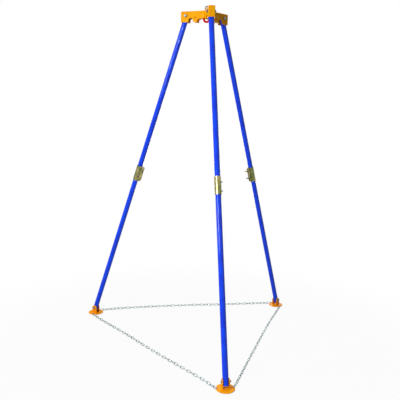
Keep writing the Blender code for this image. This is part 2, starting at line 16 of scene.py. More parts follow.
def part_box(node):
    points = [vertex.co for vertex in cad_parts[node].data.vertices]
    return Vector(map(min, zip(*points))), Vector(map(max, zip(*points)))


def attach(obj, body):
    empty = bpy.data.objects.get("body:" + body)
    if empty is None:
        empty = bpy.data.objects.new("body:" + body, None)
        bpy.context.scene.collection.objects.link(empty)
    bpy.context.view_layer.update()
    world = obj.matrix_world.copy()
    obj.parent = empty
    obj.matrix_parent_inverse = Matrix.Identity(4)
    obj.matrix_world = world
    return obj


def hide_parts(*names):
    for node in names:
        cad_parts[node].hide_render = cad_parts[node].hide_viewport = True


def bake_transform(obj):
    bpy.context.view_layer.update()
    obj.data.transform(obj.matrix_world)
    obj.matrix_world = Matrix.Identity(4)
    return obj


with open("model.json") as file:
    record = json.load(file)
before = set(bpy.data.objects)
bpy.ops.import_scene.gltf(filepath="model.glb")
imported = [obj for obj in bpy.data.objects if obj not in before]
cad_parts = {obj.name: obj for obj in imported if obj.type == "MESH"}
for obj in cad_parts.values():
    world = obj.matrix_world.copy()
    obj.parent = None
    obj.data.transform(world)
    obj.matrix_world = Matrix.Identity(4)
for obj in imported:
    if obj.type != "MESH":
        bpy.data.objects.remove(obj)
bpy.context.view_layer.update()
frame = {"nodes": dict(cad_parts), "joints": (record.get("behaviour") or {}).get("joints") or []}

# Head arms. Three channels folded from 4 mm steel plate, open below, each with its end folded down
# to stop the spread leg. Their sides are cut out for the leg, for shackles and round the hub, and
# they are welded to each other and painted a glossy signal yellow.

# The joints' places give the stand's axis and, for each leg, the frame of its arm: X out along the
# arm, Y along the leg's pin and Z up.
pins = {joint["name"]: Vector(joint["pos_m"]) for joint in frame["joints"]}
pin_lines = {joint["name"]: Vector(joint["axis"]) for joint in frame["joints"]}
leg_names = [name.removeprefix("leg_fold_") for name in pins if name.startswith("leg_fold_")]
axis_y = sum(pins["leg_fold_" + leg].y for leg in leg_names) / len(leg_names)
arm_low, arm_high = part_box("head_arm_front")
head_top = Vector((0, axis_y, arm_high.z))
upright = Vector((0, 0, 1))


def frame_at(origin, y_axis, z_axis):
    """The matrix of a frame from its origin, its Y and its Z."""
    turn = Matrix((y_axis.cross(z_axis), y_axis, z_axis)).transposed().to_4x4()
    return Matrix.Translation(origin) @ turn


arm_frames = {leg: frame_at(head_top, pin_lines["leg_fold_" + leg], upright) for leg in leg_names}


class Socket:
    """A shader socket whose sums and products add Math nodes to its tree."""

    def __init__(self, nodes, link):
        self.nodes = nodes
        self.link = link

    def maths(self, operation, first, second):
        return self.nodes.node("ShaderNodeMath", {"operation": operation}, {0: first, 1: second})

    def __add__(self, other):
        return self.maths("ADD", self, other)

    def __sub__(self, other):
        return self.maths("SUBTRACT", self, other)

    def __rsub__(self, other):
        return self.maths("SUBTRACT", other, self)

    def __mul__(self, other):
        return self.maths("MULTIPLY", self, other)

    __radd__ = __add__
    __rmul__ = __mul__


class Nodes:
    """A node tree, and the one method that adds a node to it."""

    def __init__(self, tree):
        self.tree = tree

    def fill(self, node, values):
        """Gives a node's sockets their values or links."""
        for name, value in values.items():
            if isinstance(value, Socket):
                self.tree.links.new(value.link, node.inputs[name])
            else:
                node.inputs[name].default_value = value

    def node(self, kind, settings=None, values=None, output=0):
        """A node of this kind, with its settings and then its sockets' values or links."""
        node = self.tree.nodes.new(kind)
        for name, value in (settings or {}).items():
            setattr(node, name, value)
        self.fill(node, values or {})
        return Socket(self, node.outputs[output]) if node.outputs else node


class Finish(Nodes):
    """A material: plain numbers on its Principled shader, and links where its surface varies."""

    def __init__(self, slot, **constants):
        self.slot = slot
        self.material = bpy.data.materials.new("finish_" + slot)
        self.material.use_nodes = True
        super().__init__(self.material.node_tree)
        self.surface(**constants)
        self.place = self.node("ShaderNodeTexCoord", output="Object")

    def surface(self, **values):
        """Sets or links the shader's own sockets."""
        shader = self.tree.nodes["Principled BSDF"]
        self.fill(shader, {name.replace("_", " "): value for name, value in values.items()})

    def noise(self, scale, detail, roughness=0.5, stretch=None):
        """Noise of so many features a metre, which a stretch makes longer along an axis."""
        place = self.place
        if stretch:
            place = self.node("ShaderNodeMapping", values={"Vector": place, "Scale": stretch})
        values = {"Vector": place, "Scale": scale, "Detail": detail, "Roughness": roughness}
        return self.node("ShaderNodeTexNoise", values=values)

    def between(self, value, low, high):
        """0 below low, 1 above high and a smooth step between them."""
        values = {"Value": value, "From Min": low, "From Max": high}
        return self.node("ShaderNodeMapRange", {"interpolation_type": "SMOOTHSTEP"}, values)

    def mix(self, first, second, share):
        """A colour between two colours."""
        values = {0: share, 6: first, 7: second}
        return self.node("ShaderNodeMix", {"data_type": "RGBA"}, values, output=2)

    def bump(self, height, distance, strength):
        """The normal of a surface raised by the height, which 1 lifts by the distance."""
        values = {"Height": height, "Distance": distance, "Strength": strength}
        return self.node("ShaderNodeBump", values=values)


def paint(slot, colour, deep, worn, rough, coat):
    """Sprayed gloss paint: a little deeper where it is thick, with orange peel and faint rubbed
    specks."""
    finish = Finish(slot, Specular_IOR_Level=0.02, Coat_IOR=1.3, Coat_Roughness=0.04)
    clouds = finish.noise(scale=9.0, detail=4.0)
    peel = finish.noise(scale=420.0, detail=2.0)
    specks = finish.noise(scale=240.0, detail=5.0, roughness=0.7)
    rubbed = finish.between(specks, low=0.70, high=0.78)
    sprayed = finish.mix(colour, deep, finish.between(clouds, low=0.40, high=0.70))
    finish.surface(
        Base_Color=finish.mix(sprayed, worn, rubbed * 0.3),
        Roughness=rough + 0.10 * clouds + 0.20 * rubbed,
        Coat_Weight=coat - 0.5 * coat * rubbed,
        Normal=finish.bump(peel * 0.6 + clouds * 0.4, distance=0.0003, strength=0.2),
    )
    return finish


YELLOW = (1.0, 0.44, 0.0, 1.0)
YELLOW_DEEP = (0.94, 0.37, 0.0, 1.0)
YELLOW_WORN = (0.80, 0.42, 0.08, 1.0)
yellow_paint = paint("yellow_paint", YELLOW, YELLOW_DEEP, YELLOW_WORN, rough=0.30, coat=0.25)

WELD_WITHIN = 2e-6  # points closer than this become one
NO_LENGTH = 1e-7


def mesh_of(name, grids):
    """One mesh of point grids. Each grid is (rows, columns, 3), and a column that closes a ring
    repeats the first.

    The grids are welded where they touch, and their UV map holds the metres run along each grid.
    """
    points = []
    quads = []
    layout = []
    start = 0
    for grid in grids:
        rows, columns = grid.shape[:2]
        index = start + np.arange(rows * columns).reshape(rows, columns)
        corners = (index[:-1, :-1], index[1:, :-1], index[1:, 1:], index[:-1, 1:])
        quads.append(np.stack(corners, axis=-1).reshape(-1, 4))
        points.append(grid.reshape(-1, 3))
        down = np.linalg.norm(np.diff(grid, axis=0), axis=2).max(axis=1, initial=0)
        along = np.linalg.norm(np.diff(grid, axis=1), axis=2).max(axis=0, initial=0)
        v, u = np.meshgrid(np.append(0, down.cumsum()), np.append(0, along.cumsum()), indexing="ij")
        layout.append(np.stack((u, v), axis=-1).reshape(-1, 2))
        start += rows * columns
    quads = np.concatenate(quads)
    mesh = bpy.data.meshes.new(name)
    mesh.from_pydata(np.concatenate(points), [], quads)
    uv = mesh.uv_layers.new(name="UVMap")
    uv.data.foreach_set("uv", np.concatenate(layout)[quads.ravel()].ravel())
    work = bmesh.new()
    work.from_mesh(mesh)
    bmesh.ops.remove_doubles(work, verts=work.verts, dist=WELD_WITHIN)
    bmesh.ops.dissolve_degenerate(work, edges=work.edges, dist=NO_LENGTH)
    bmesh.ops.recalc_face_normals(work, faces=work.faces)
    work.to_mesh(mesh)
    work.free()
    return mesh


def new_object(name, data):
    """An object of the scene with this mesh, lamp or camera."""
    obj = bpy.data.objects.new(name, data)
    bpy.context.scene.collection.objects.link(obj)
    return obj


def piece(name, mesh, place, finish, body, *nodes, sharp=35):
    """Puts a mesh in its place, gives it its finish and its body, and hides the nodes that it
    stands for. Edges that turn by more than the sharp angle stay sharp."""
    mesh.transform(place)
    mesh.materials.clear()
    mesh.materials.append(finish.material)
    mesh.shade_smooth()
    mesh.set_sharp_from_angle(angle=math.radians(sharp))
    obj = new_object(name, mesh)
    level = obj.modifiers.new("level", "WEIGHTED_NORMAL")
    level.keep_sharp = True
    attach(obj, body)
    if nodes:
        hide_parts(*nodes)


def dress(node, finish):
    """Gives its finish to a node that keeps its CAD shape."""
    for material_slot in frame["nodes"][node].material_slots:
        material_slot.material = finish.material


CUTTER_SIDES = 40
ALONG_Z = Matrix.Rotation(math.radians(90), 4, "X")  # stands a cutter up


def cutter(radius, reach, place):
    """A round cutter along Y: a circle carried so far to either side, closed to a point."""
    angle = np.linspace(0, math.tau, CUTTER_SIDES + 1)
    rings = [(0, -reach), (radius, -reach), (radius, reach), (0, reach)]
    grid = [
        np.stack((size * np.cos(angle), 0 * angle + y, size * np.sin(angle)), -1)
        for size, y in rings
    ]
    mesh = mesh_of("cutter", [np.stack(grid)])
    mesh.transform(place)
    return mesh


def shaped(mesh, thickness=0.0, holes=(), joined=(), edge=0.0008):
    """The mesh with its wall thickened both ways, its holes cut, other bodies merged with it and
    its edges rounded."""
    body = new_object("work", mesh)
    if thickness:
        wall = body.modifiers.new("wall", "SOLIDIFY")
        wall.thickness = thickness
        wall.offset = 0
        wall.use_even_offset = True
    tools = []
    for operation, meshes in (("DIFFERENCE", holes), ("UNION", joined)):
        for tool_mesh in meshes:
            tool = new_object("tool", tool_mesh)
            change = body.modifiers.new("change", "BOOLEAN")
            change.operation = operation
            change.object = tool
            tools.append(tool)
    if edge:
        rounding = body.modifiers.new("edge", "BEVEL")
        rounding.width = edge
        rounding.segments = 2
        rounding.limit_method = "ANGLE"
        rounding.angle_limit = math.radians(50)
    bpy.context.view_layer.update()
    graph = bpy.context.evaluated_depsgraph_get()
    result = bpy.data.meshes.new_from_object(body.evaluated_get(graph))
    for obj in (body, *tools):
        bpy.data.objects.remove(obj)
    return result


ARM_PLATE = 0.004
ARM_FOLD = 0.004  # middle radius of its folds
ARM_HEIGHT = 0.095
NOTCH_FROM_END = 0.074
NOTCH_WIDTH = 0.042
NOTCH_DEPTH = 0.035
NOTCH_RADIUS = 0.017
LOBE_WIDTH = 0.043
RELIEF_DEPTH = 0.028
RELIEF_RADIUS = 0.014
PIVOT_HOLE_RADIUS = 0.0084
RIGGING_HOLE_RADIUS = 0.007
RIGGING_HOLE_DROP = 0.057  # below the top, as the hub hole's
HUB_HOLE_RADIUS = 0.0045
HUB_HOLE_DROP = 0.017
HUB_HOLE_OUT = 0.039  # from the stand's axis
STUD_HOLE_RADIUS = 0.0125
HALFWAY = math.radians(60)  # from an arm to the plane where it meets the next
MITRE_SLOPE = math.tan(HALFWAY)
arm_reach = axis_y - arm_low.y
arm_half = (arm_high.x - arm_low.x) / 2
pivot_drop = head_top.z - pins["leg_fold_front"].z
pivot_radius = axis_y - pins["leg_fold_front"].y
notch_out = arm_reach - NOTCH_FROM_END
notch_in = notch_out - NOTCH_WIDTH
lobe_in = notch_in - LOBE_WIDTH


def arm_edge(x):
    """Height of the side plate's lower edge at x: the relief and the notch rise over it with round
    corners."""
    into = np.clip(x - (lobe_in - RELIEF_RADIUS), 0, RELIEF_RADIUS)
    relief = RELIEF_DEPTH - RELIEF_RADIUS + np.sqrt(RELIEF_RADIUS**2 - into**2)
    off = np.abs(x - (notch_out + notch_in) / 2)
    half_notch = (notch_out - notch_in) / 2
    into = np.clip(off - (half_notch - NOTCH_RADIUS), 0, NOTCH_RADIUS)
    notch = NOTCH_DEPTH - NOTCH_RADIUS + np.sqrt(NOTCH_RADIUS**2 - into**2)
    rise = np.where(x <= lobe_in, relief, np.where(off <= half_notch, notch, 0))
    return rise - ARM_HEIGHT


def arm_mesh():
    """The arm's middle surface, over u round its plan from hub to end and back, and v up its side,
    over the fold and in to its spine.

    A point is the plan's core path plus its outward normal times the fold's reach, which is the
    whole radius on the side, its cosine on the fold and nothing on top. On top y shrinks to nothing
    and the end draws in to the spine. A side's columns share out the length from the mitre line to
    the end.
    """
    side_rows, fold_rows, top_rows = 12, 5, 5
    core_y = arm_half - ARM_PLATE / 2 - ARM_FOLD
    core_x = arm_reach - ARM_PLATE / 2 - ARM_FOLD
    top = -ARM_PLATE / 2
    hub_x = (core_y + ARM_FOLD) / MITRE_SLOPE
    step = 0.00005  # from a square corner of the edge to the next column
    curve = np.sin(np.linspace(0, math.pi / 2, 9))
    along = np.concatenate(
        [
            np.linspace(hub_x, lobe_in - RELIEF_RADIUS, 8),
            lobe_in - RELIEF_RADIUS + RELIEF_RADIUS * curve,
            np.linspace(lobe_in + step, notch_in - step, 8),
            notch_in + NOTCH_RADIUS * (1 - curve[::-1]),
            notch_out - NOTCH_RADIUS * (1 - curve),
            np.linspace(notch_out + step, core_x, 10),
        ]
    )
    part = (along - hub_x) / (core_x - hub_x)
    corner = np.linspace(-math.pi / 2, 0, 7)[1:]
    end_y = np.linspace(-core_y, core_y, 9)[1:-1]
    beyond = np.full(2 * len(corner) + len(end_y), 2.0)  # the end's columns, on no side
    part = np.concatenate([part, beyond, part[::-1]])
    flat = np.full(len(along), math.pi / 2)
    normal = np.concatenate([-flat, corner, 0 * end_y, -corner[::-1], flat])
    near = np.full(len(along) + len(corner), -core_y)
    path_y = np.concatenate([near, end_y, -near])
    fold = np.linspace(0, math.pi / 2, fold_rows + 1)[1:]
    reach = np.concatenate([np.ones(side_rows), np.cos(fold), np.zeros(top_rows)])
    reach = ARM_FOLD * reach[:, None]
    to_spine = np.linspace(0, 1, top_rows + 1)[1:]
    inward = np.append(np.zeros(side_rows + fold_rows), to_spine)[:, None]
    y = (path_y + reach * np.sin(normal)) * (1 - inward)
    end = (core_x + reach * np.cos(normal)) * (1 - inward) + (core_x - core_y) * inward
    mitre = np.abs(y) / MITRE_SLOPE
    x = np.where(part <= 1, mitre + (end - mitre) * part, end)
    foot = arm_edge(x[0])
    side = foot + (top - ARM_FOLD - foot) * np.linspace(0, 1, side_rows)[:, None]
    above = np.append(top - ARM_FOLD + ARM_FOLD * np.sin(fold), np.full(top_rows, top))
    z = np.concatenate([side, above[:, None] + 0 * foot])
    return mesh_of("arm", [np.stack((x, y, z), axis=-1)])


def arm_holes():
    """Cutters through both sides for the pivot, rigging and hub holes, and one down for the
    stud."""
    wide = 2 * arm_half
    sites = [
        (PIVOT_HOLE_RADIUS, pivot_radius, pivot_drop),
        (RIGGING_HOLE_RADIUS, (notch_in + lobe_in) / 2, RIGGING_HOLE_DROP),
        (HUB_HOLE_RADIUS, HUB_HOLE_OUT, HUB_HOLE_DROP),
    ]
    holes = [cutter(radius, wide, Matrix.Translation((x, 0, -drop))) for radius, x, drop in sites]
    holes.append(cutter(STUD_HOLE_RADIUS, wide, ALONG_Z))
    return holes


for leg in leg_names:
    arm = shaped(arm_mesh(), ARM_PLATE, arm_holes())
    piece("arm_" + leg, arm, arm_frames[leg], yellow_paint, "head", "head_arm_" + leg)

dress("hub_plate", yellow_paint)

BEAD_PITCH = 0.003
BEAD_SIDES = 10
ASKEW = (0.3, 0.2, 1.0)  # a direction that no bead runs along


def run_along(path):
    """The metres run to each point of a path."""
    return np.append(0, np.linalg.norm(np.diff(path, axis=0), axis=1).cumsum())


def bead_mesh(path, radius, ripple):
    """A weld bead: a round section carried along a path, with a cosine of the metres run added to
    its radius. A ring lies square to the path at each point, and the ends close to a point."""
    tangent = np.gradient(path, axis=0)
    tangent /= np.linalg.norm(tangent, axis=1)[:, None]
    side = np.cross(tangent, ASKEW)
    side /= np.linalg.norm(side, axis=1)[:, None]
    other = np.cross(tangent, side)
    size = radius + ripple * np.cos(math.tau * run_along(path) / BEAD_PITCH)
    size[0] = size[-1] = 0
    angle = np.linspace(0, math.tau, BEAD_SIDES + 1)[None, :, None]
    ring = np.cos(angle) * side[:, None] + np.sin(angle) * other[:, None]
    return mesh_of("bead", [path[:, None] + size[:, None, None] * ring])


# The head's weld beads, one along each line where two arms meet: out over the top, round an arc
# and down the corner
BEAD_START = 0.0185  # from the axis, clear of the spacer
BEAD_SINK = 0.0006  # its middle below the top face
BEAD_TURN = 0.002
corner = arm_half / math.sin(HALFWAY)
out = np.linspace(BEAD_START, corner - BEAD_TURN, 14)
turn = np.linspace(0, math.pi / 2, 6)[1:-1]
down = np.linspace(0, ARM_HEIGHT - RELIEF_DEPTH - BEAD_TURN, 46)
turn_x = corner - BEAD_TURN
turn_z = -BEAD_SINK - BEAD_TURN
bead_x = np.concatenate([out, turn_x + BEAD_TURN * np.sin(turn), 0 * down + corner])
bead_z = np.concatenate([0 * out - BEAD_SINK, turn_z + BEAD_TURN * np.cos(turn), turn_z - down])
bead_path = np.stack((bead_x, 0 * bead_x, bead_z), -1)
for index, leg in enumerate(leg_names):
    halfway = arm_frames[leg] @ Matrix.Rotation(HALFWAY, 4, "Z")
    bead = bead_mesh(bead_path, radius=0.0022, ripple=0.0003)
    piece(f"head_weld_{index + 1}", bead, halfway, yellow_paint, "head", sharp=70)


# Lifting eye. A drop-forged ring on a collared stud, painted red, which hangs under the hub with
# its stud up through the hub plate. A plated nut on a tube spacer holds it from above.

RED = (0.72, 0.0, 0.006, 1.0)
RED_DEEP = (0.30, 0.0, 0.003, 1.0)
RED_WORN = (0.35, 0.10, 0.08, 1.0)
red_paint = paint("red_paint", RED, RED_DEEP, RED_WORN, rough=0.26, coat=0.22)


def plated(slot, tint, stain, rough, scale):
    """Zinc plate: clouded by its bath, with fine drawn grain and, about three times as fine as the
    clouds, duller spots where hands and rain reach it."""
    finish = Finish(slot, Metallic=1.0)
    clouds = finish.noise(scale, detail=5.0, roughness=0.6)
    grain = finish.noise(scale=900.0, detail=2.0, stretch=(1.0, 1.0, 0.2))
    spots = finish.between(finish.noise(scale=3.1 * scale, detail=4.0), low=0.52, high=0.72)
    finish.surface(
        Base_Color=finish.mix(tint, stain, finish.between(clouds, low=0.38, high=0.68)),
        Roughness=rough + 0.16 * spots + 0.08 * grain,
        Normal=finish.bump(grain, distance=0.0002, strength=0.15),
    )
    return finish


ZINC = (0.21, 0.24, 0.27, 1.0)
ZINC_STAIN = (0.09, 0.11, 0.14, 1.0)
zinc_plated = plated("zinc_plated", ZINC, ZINC_STAIN, rough=0.40, scale=60.0)


def ring_of(profile, steps=64, start=0.0):
    """A (radius, height) profile turned round Z."""
    angle = np.linspace(0, math.tau, steps + 1) + start
    radius, height = np.array(profile, float).T[..., None]
    return np.stack((radius * np.cos(angle), radius * np.sin(angle), height + 0 * angle), -1)


def rounded(profile, radius):
    """The profile with each of its inner corners turned into an arc: the point slides along the two
    sides, weighted as a quadratic curve is."""
    points = np.array(profile, float)
    result = [points[:1]]
    share = np.linspace(0, 1, 5)[:, None]
    for before, corner, after in zip(points, points[1:], points[2:]):
        near = before - corner
        far = after - corner
        reach = min(radius, np.linalg.norm(near) / 2, np.linalg.norm(far) / 2)
        first = corner + near / np.linalg.norm(near) * reach
        last = corner + far / np.linalg.norm(far) * reach
        drawn = 2 * share * (1 - share) * corner
        result.append((1 - share) ** 2 * first + drawn + share**2 * last)
    return np.concatenate([*result, points[-1:]])


HEX_STEPS = 48  # round a bolt or a nut
THREAD_DEPTH = 0.61  # of its pitch


def hexed(profile, flats, thread=None):
    """A profile turned round Z and cut to a hexagon: the radius is the lesser of the profile's and
    the hexagon's. A thread takes its depth off the radius as a triangle wave that climbs one pitch
    a turn."""
    angle = np.linspace(0, math.tau, HEX_STEPS + 1)
    from_flat = (angle + math.pi / 6) % (math.pi / 3) - math.pi / 6
    hexagon = flats / 2 / np.cos(from_flat)
    radius, height = np.array(profile, float).T
    radius = np.minimum(radius[:, None], hexagon[None])
    height = height[:, None] + 0 * angle
    if thread:
        pitch, low, high = thread
        phase = (height / pitch - angle / math.tau) % 1
        cut = THREAD_DEPTH * pitch * np.abs(2 * phase - 1)
        inside = (height >= low) & (height <= high) & (radius > 0)
        radius = np.where(inside, radius - cut, radius)
    return np.stack((radius * np.cos(angle), radius * np.sin(angle), height), -1)


def between_points(first, last, count):
    """Evenly spaced profile points from one to the other, the last left out."""
    share = np.linspace(0, 1, count, endpoint=False)[:, None]
    return (1 - share) * np.array(first) + share * np.array(last)


SEAT_GAP = 0.0003  # between a piece and what it sits on
HEX_SPARE = 0.0001  # the profile passes the hexagon's corners by this
CORNER_FALL = 0.6  # height of a hexagon's turned-down corners, over their width
HEAD_FACE = 0.90  # of half the flats, as in the two below
CORNER_START = 0.97
WASHER_FACE = 0.95
WASHER_STEP = 0.0006
BOLT_TIP = 0.08  # of the diameter
THREAD_ROWS = 6  # to a pitch
CORNER_ROWS = 6
BORE_CHAMFER = 0.0012


def hexagon_sizes(flats):
    """Half the flats, the radius past the corners, and how far the turned-down corners fall."""
    flat = flats / 2
    corner = flats / math.sqrt(3) + HEX_SPARE
    return flat, corner, (corner - flat) * CORNER_FALL


def bolt_mesh(diameter, flats, head, pitch, smooth, length):
    """A hexagon bolt along Z: its head below 0, a washer face, a smooth shank and its thread."""
    radius = diameter / 2
    flat, corner, fall = hexagon_sizes(flats)
    tip = diameter * BOLT_TIP
    thread_end = length - tip
    thread_rows = int((thread_end - smooth) / pitch * THREAD_ROWS)
    washer = flat * WASHER_FACE
    profile = np.concatenate(
        [
            [(0, -head), (flat * HEAD_FACE, -head)],
            between_points((flat * CORNER_START, -head), (corner, -head + fall), CORNER_ROWS),
            [(corner, -head + fall), (corner, -WASHER_STEP)],
            [(washer, -WASHER_STEP), (washer, 0), (radius, 0)],
            between_points((radius, smooth), (radius, thread_end), thread_rows),
            [(radius, thread_end), (radius - tip, length), (0, length)],
        ]
    )
    return mesh_of("bolt", [hexed(profile, flats, (pitch, smooth + pitch / 2, thread_end))])


def nut_mesh(diameter, flats, height):
    """A hexagon nut along Z from 0 up, with its corners turned down at both faces and its bore
    chamfered."""
    bore = diameter / 2 + SEAT_GAP
    flat, corner, fall = hexagon_sizes(flats)
    start = flat * CORNER_START
    mouth = bore + BORE_CHAMFER
    profile = np.concatenate(
        [
            [(bore, BORE_CHAMFER), (mouth, 0)],
            between_points((start, 0), (corner, fall), CORNER_ROWS),
            [(corner, fall), (corner, height / 2)],
            between_points((corner, height - fall), (start, height), CORNER_ROWS),
            [(start, height), (mouth, height), (bore, height - BORE_CHAMFER), (bore, BORE_CHAMFER)],
        ]
    )
    return mesh_of("nut", [hexed(profile, flats)])


EYE_TURN = math.radians(-9)
EYE_RING = 0.024  # to the middle of the stock
EYE_STOCK = 0.009
STUD_RADIUS = 0.012
STUD_PITCH = 0.003
STUD_TIP = 0.0015
STUD_REACH = 0.0046  # over the nut
COLLAR_RADIUS = 0.020
COLLAR_THICK = 0.008
NECK_TOP_RADIUS = 0.0135
NECK_FOOT_RADIUS = 0.0100
NECK_TIP_RADIUS = 0.0060
NECK_FLARE = 0.004  # height of its widening at either end
SPACER_RADIUS = 0.017
SPACER_BORE = STUD_RADIUS + 0.0005
SPACER_HEIGHT = 0.020
EYE_NUT_FLATS = 0.036
EYE_NUT_HEIGHT = 0.018

# Heights from the head's top
EYE_MIDDLE = -0.072
NECK_FOOT = EYE_MIDDLE + EYE_RING
COLLAR_TOP = -0.0169
COLLAR_FOOT = COLLAR_TOP - COLLAR_THICK
STUD_JOIN = SPACER_HEIGHT + EYE_NUT_HEIGHT / 2  # red below, plated above, inside the nut
THREAD_START = STUD_JOIN + 0.001
STUD_TOP = SPACER_HEIGHT + EYE_NUT_HEIGHT + STUD_REACH
THREAD_END = STUD_TOP - STUD_TIP


def eye_mesh():
    """A ring of round stock, a circle carried round an upright circle, merged with its stem: the
    profile of stud, collar and neck turned round Z."""
    turn = np.linspace(0, math.tau, 73)
    roll = np.linspace(0, math.tau, 33)[:, None]
    across = EYE_RING + EYE_STOCK * np.cos(roll)
    deep = EYE_STOCK * np.sin(roll) + 0 * turn
    ring = np.stack((across * np.cos(turn), deep, across * np.sin(turn) + EYE_MIDDLE), -1)
    profile = [
        (0, STUD_JOIN), (STUD_RADIUS, STUD_JOIN), (STUD_RADIUS, COLLAR_TOP),
        (COLLAR_RADIUS, COLLAR_TOP), (COLLAR_RADIUS, COLLAR_FOOT),
        (NECK_TOP_RADIUS, COLLAR_FOOT - NECK_FLARE), (NECK_FOOT_RADIUS, NECK_FOOT + NECK_FLARE),
        (NECK_TIP_RADIUS, NECK_FOOT), (0, NECK_FOOT),
    ]
    stem = ring_of(rounded(profile, radius=0.0014), 48)
    return shaped(mesh_of("eye", [ring]), joined=[mesh_of("stem", [stem])], edge=0)


def spacer_mesh():
    """A short tube: its wall's section turned round Z."""
    inside = (SPACER_BORE, SPACER_HEIGHT / 2)
    top = [(SPACER_BORE, SPACER_HEIGHT), (SPACER_RADIUS, SPACER_HEIGHT)]
    foot = [(SPACER_RADIUS, 0), (SPACER_BORE, 0)]
    return mesh_of("spacer", [ring_of(rounded([inside, *top, *foot, inside], radius=0.0008))])


def stud_thread_mesh():
    """The stud's threaded end: its profile turned round Z, with the thread's wave cut into it."""
    profile = np.concatenate(
        [
            [(0, STUD_JOIN), (STUD_RADIUS, STUD_JOIN)],
            between_points((STUD_RADIUS, THREAD_START), (STUD_RADIUS, THREAD_END), 24),
            [(STUD_RADIUS, THREAD_END), (STUD_RADIUS - STUD_TIP, STUD_TOP), (0, STUD_TOP)],
        ]
    )
    thread = hexed(profile, EYE_NUT_FLATS, (STUD_PITCH, THREAD_START, THREAD_END))
    return mesh_of("thread", [thread])


eye_place = Matrix.Translation(head_top) @ Matrix.Rotation(EYE_TURN, 4, "Z")
spacer_place = Matrix.Translation((0, 0, SEAT_GAP)) @ eye_place
nut_place = Matrix.Translation((0, 0, SPACER_HEIGHT + 2 * SEAT_GAP)) @ eye_place
top_nut = nut_mesh(2 * STUD_RADIUS, EYE_NUT_FLATS, EYE_NUT_HEIGHT)
piece("eye", eye_mesh(), eye_place, red_paint, "head", "lifting_eye", sharp=50)
piece("spacer", spacer_mesh(), spacer_place, zinc_plated, "head", "eye_spacer")
piece("top_nut", top_nut, nut_place, zinc_plated, "head", "eye_nut")
piece("stud_thread", stud_thread_mesh(), eye_place, zinc_plated, "head")


# Leg pivot bolts. M16 hexagon bolts and nuts, zinc plated, one through each arm's side plates and
# the leg's tube. The leg turns on the bolt.

ALONG_Y = Matrix.Rotation(math.radians(-90), 4, "X")  # lays a bolt down
pivot_seat = arm_half + SEAT_GAP
PIVOT_BOLT = {"diameter": 0.016, "flats": 0.024, "head": 0.010, "pitch": 0.002}
PIVOT_NUT = 0.013
PIVOT_REACH = 0.016  # of the bolt past the far plate


def bolt_and_nut(names, nodes, size, nut_height, place, seat, finish, body):
    """A bolt along Y, with its head this far out on the -Y side and its nut on the +Y side. The
    names have a gap for the word bolt or nut."""
    nut = nut_mesh(size["diameter"], size["flats"], nut_height)
    for kind, mesh, side in (("bolt", bolt_mesh(**size), -seat), ("nut", nut, seat)):
        seated = place @ Matrix.Translation((0, side, 0)) @ ALONG_Y
        piece(names.format(kind), mesh, seated, finish, body, nodes.format(kind))


for leg in leg_names:
    place = arm_frames[leg] @ Matrix.Translation((pivot_radius, 0, -pivot_drop))
    plates = 2 * pivot_seat
    size = {**PIVOT_BOLT, "smooth": plates, "length": plates + PIVOT_REACH}
    names = "leg_{}_" + leg, "pivot_{}_" + leg
    bolt_and_nut(*names, size, PIVOT_NUT, place, pivot_seat, zinc_plated, "head")


# Leg tubes. Each leg is two lengths of 48.3 mm steel tube, butted inside the clamp sleeve, with a
# hole across each outer end. They are sprayed a glossy royal blue.

BLUE = (0.0, 0.060, 0.90, 1.0)
BLUE_DEEP = (0.0, 0.038, 0.74, 1.0)
BLUE_WORN = (0.02, 0.05, 0.30, 1.0)
blue_paint = paint("blue_paint", BLUE, BLUE_DEEP, BLUE_WORN, rough=0.20, coat=0.80)
TUBE_RADIUS = 0.02415
TUBE_WALL = 0.0032
TUBE_TOP = 0.020  # over the pivot
TUBE_END = 0.030  # past the foot's pin
TUBE_BURR = 0.0005
TUBE_PIVOT_HOLE = 0.0086
TUBE_FOOT_HOLE = 0.0066
JOINT_AT = -1.530
leg_lines = {leg: pins["leg_fold_" + leg] - pins["foot_tilt_" + leg] for leg in leg_names}
leg_frames = {
    leg: frame_at(pins["leg_fold_" + leg], pin_lines["leg_fold_" + leg], line.normalized())
    for leg, line in leg_lines.items()
}
leg_length = leg_lines["front"].length


def tube_mesh(top, foot, pin_z, hole):
    """A tube along Z with its ends deburred and a hole across it."""
    inner = TUBE_RADIUS - TUBE_WALL
    inner_edge = inner + TUBE_BURR
    outer_edge = TUBE_RADIUS - TUBE_BURR
    plain = top - foot - 2 * TUBE_BURR
    outside = [(TUBE_RADIUS, top - TUBE_BURR - plain * part) for part in np.linspace(0, 1, 60)]
    profile = [(inner, foot + TUBE_BURR), (inner, top - TUBE_BURR)]
    profile += [(inner_edge, top), (outer_edge, top), *outside]
    profile += [(outer_edge, foot), (inner_edge, foot), (inner, foot + TUBE_BURR)]
    tube = mesh_of("tube", [ring_of(profile, 72, start=math.pi)])
    across = cutter(hole, reach=0.06, place=Matrix.Translation((0, 0, pin_z)))
    return shaped(tube, holes=[across], edge=0)


TUBES = {
    "upper": (TUBE_TOP, JOINT_AT + SEAT_GAP / 2, 0, TUBE_PIVOT_HOLE),
    "lower": (JOINT_AT - SEAT_GAP / 2, -leg_length - TUBE_END, -leg_length, TUBE_FOOT_HOLE),
}
for leg in leg_names:
    place = leg_frames[leg]
    for half, sizes in TUBES.items():
        tube = tube_mesh(*sizes)
        piece(f"tube_{half}_{leg}", tube, place, blue_paint, "leg_" + leg, f"{half}_tube_{leg}")
